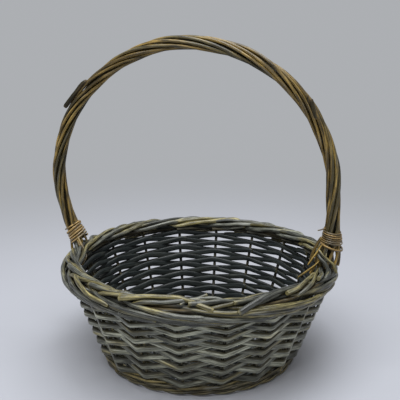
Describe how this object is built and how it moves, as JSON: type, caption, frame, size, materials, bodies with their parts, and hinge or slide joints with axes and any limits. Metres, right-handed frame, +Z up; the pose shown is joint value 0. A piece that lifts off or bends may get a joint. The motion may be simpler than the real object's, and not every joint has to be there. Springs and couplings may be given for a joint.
{
  "type": "basket",
  "caption": "Round woven willow basket with a plaited border, flared wall and a fixed roped bow handle bound with cane at its feet.",
  "frame": {"origin": "centre of the bounding box on the surface that the foot stands on", "axes": "+Z up, +X along the arch of the handle towards its more upright leg, +Y across the arch away from the pictured side"},
  "size_m": [0.3488, 0.3156, 0.3742],
  "materials": {
    "willow_weavers": "satin",
    "willow_stakes": "satin",
    "willow_wale": "satin",
    "willow_base": "matte",
    "willow_border": "satin",
    "willow_handle": "satin",
    "cane": "satin"
  },
  "bodies": {
    "root": {"base_stick_1": "willow_base", "base_stick_2": "willow_base", "base_stick_3": "willow_base", "base_stick_4": "willow_base", "base_stick_5": "willow_base", "base_stick_6": "willow_base", "base_stick_7": "willow_base", "base_stick_8": "willow_base", "base_stick_9": "willow_base", "base_weave": "willow_base", "stake_01": "willow_stakes", "stake_02": "willow_stakes", "stake_03": "willow_stakes", "stake_04": "willow_stakes", "stake_05": "willow_stakes", "stake_06": "willow_stakes", "stake_07": "willow_stakes", "stake_08": "willow_stakes", "stake_09": "willow_stakes", "stake_10": "willow_stakes", "stake_11": "willow_stakes", "stake_12": "willow_stakes", "stake_13": "willow_stakes", "stake_14": "willow_stakes", "stake_15": "willow_stakes", "stake_16": "willow_stakes", "stake_17": "willow_stakes", "stake_18": "willow_stakes", "foot_wale": "willow_wale", "lower_wale": "willow_wale", "upper_wale": "willow_wale", "weaver_01": "willow_weavers", "weaver_02": "willow_weavers", "weaver_03": "willow_weavers", "weaver_04": "willow_weavers", "weaver_05": "willow_weavers", "weaver_06": "willow_weavers", "weaver_07": "willow_weavers", "weaver_08": "willow_weavers", "weaver_09": "willow_weavers", "weaver_10": "willow_weavers", "weaver_11": "willow_weavers", "weaver_12": "willow_weavers", "weaver_13": "willow_weavers", "weaver_14": "willow_weavers", "weaver_15": "willow_weavers", "weaver_16": "willow_weavers", "border_strand_1": "willow_border", "border_strand_2": "willow_border", "border_strand_3": "willow_border", "handle_bow": "willow_handle", "handle_rod_1": "willow_handle", "handle_rod_2": "willow_handle", "handle_rod_3": "willow_handle", "handle_rod_4": "willow_handle", "handle_rod_5": "willow_handle", "handle_rod_6": "willow_handle", "handle_rod_7": "willow_handle", "binding_left": "cane", "binding_right": "cane"}
  },
  "joints": []
}
